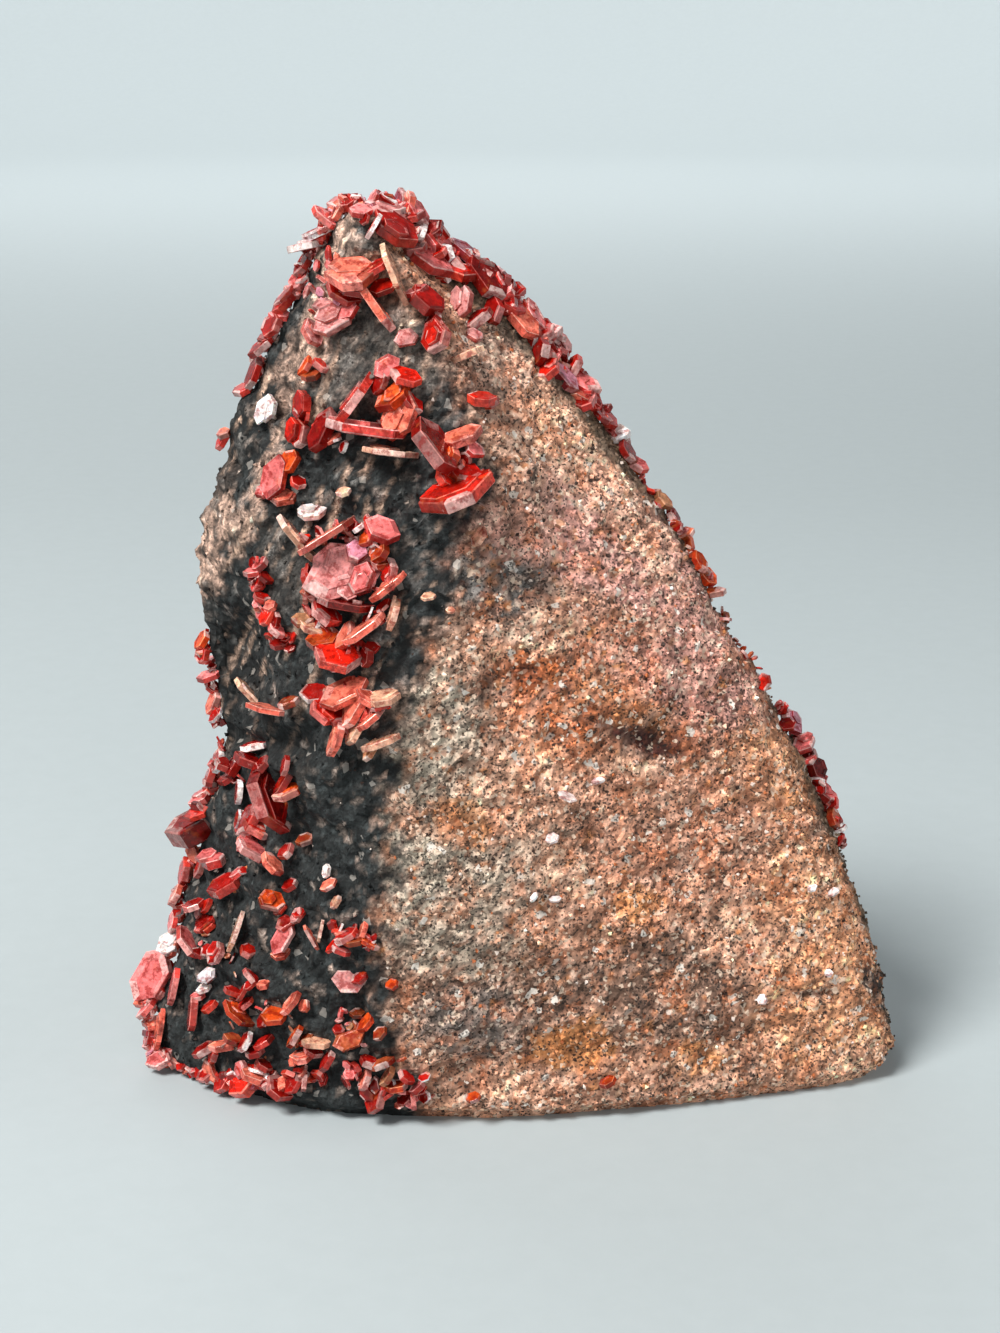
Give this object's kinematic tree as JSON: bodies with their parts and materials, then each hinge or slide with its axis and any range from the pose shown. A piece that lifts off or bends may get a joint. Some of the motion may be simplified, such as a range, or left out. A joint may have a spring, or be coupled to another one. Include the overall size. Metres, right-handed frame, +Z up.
{
  "type": "vanadinite on matrix mineral specimen",
  "caption": "Upright wedge of dark and red-brown broken rock with clusters of glossy orange-red hexagonal vanadinite tablets over its left face, crown and shoulder.",
  "frame": {"origin": "on the flat foot of the rock, below the middle of the block", "axes": "+Z up along the block's height, -Y towards the front that shows the crystals and the broken face, +X to the viewer's right"},
  "size_m": [0.0803, 0.0433, 0.0895],
  "materials": {
    "matrix_rock": "rough, granular: charcoal-black crust on the left, red-brown to ochre broken rock on the right",
    "vanadinite_red": "glossy, adamantine, slightly translucent deep red to orange-red",
    "vanadinite_pale": "glossy, pale pink to cream"
  },
  "bodies": {
    "root": {"back_crown": "vanadinite_red", "back_left_group": "vanadinite_red", "back_low_group": "vanadinite_red", "back_rosette": "vanadinite_red", "back_shoulder_high": "vanadinite_red", "back_shoulder_low": "vanadinite_red", "back_shoulder_middle": "vanadinite_red", "barrel": "vanadinite_red", "bent_bar": "vanadinite_red", "big_left_hexagon": "vanadinite_red", "brown_hexagon": "vanadinite_red", "central_cluster": "vanadinite_red", "cream_bar": "vanadinite_pale", "crossed_bars": "vanadinite_red", "crown_band": "vanadinite_red", "crown_left": "vanadinite_red", "foot_bundle": "vanadinite_red", "foot_corner": "vanadinite_red", "foot_left": "vanadinite_red", "foot_middle": "vanadinite_red", "foot_red_bundle": "vanadinite_red", "foot_right": "vanadinite_red", "grey_hexagon": "vanadinite_pale", "ledge_cluster": "vanadinite_red", "ledge_cream_bar": "vanadinite_pale", "ledge_long_bar": "vanadinite_red", "left_bars": "vanadinite_red", "left_chain_high": "vanadinite_red", "left_chain_low": "vanadinite_red", "left_edge_upper": "vanadinite_red", "left_middle": "vanadinite_red", "left_rim": "vanadinite_red", "left_rim_foot": "vanadinite_red", "left_rim_low": "vanadinite_red", "left_shoulder": "vanadinite_red", "lone_red": "vanadinite_red", "lower_bars": "vanadinite_red", "lower_left_group": "vanadinite_red", "matrix": "matrix_rock", "middle_chips": "vanadinite_red", "orange_hexagon": "vanadinite_red", "pale_disc": "vanadinite_pale", "pale_hexagon": "vanadinite_pale", "pink_hexagon": "vanadinite_red", "red_block": "vanadinite_red", "red_plate": "vanadinite_red", "right_edge_lower": "vanadinite_red", "right_edge_middle": "vanadinite_red", "right_edge_orange": "vanadinite_red", "right_edge_upper": "vanadinite_red", "rosette": "vanadinite_red", "rusty_group": "vanadinite_red", "small_trio": "vanadinite_red", "thin_bar": "vanadinite_pale", "under_ledge_group": "vanadinite_red", "under_ledge_left": "vanadinite_red", "upper_tablet": "vanadinite_red", "white_chip": "vanadinite_pale", "white_plate": "vanadinite_pale"}
  },
  "joints": []
}
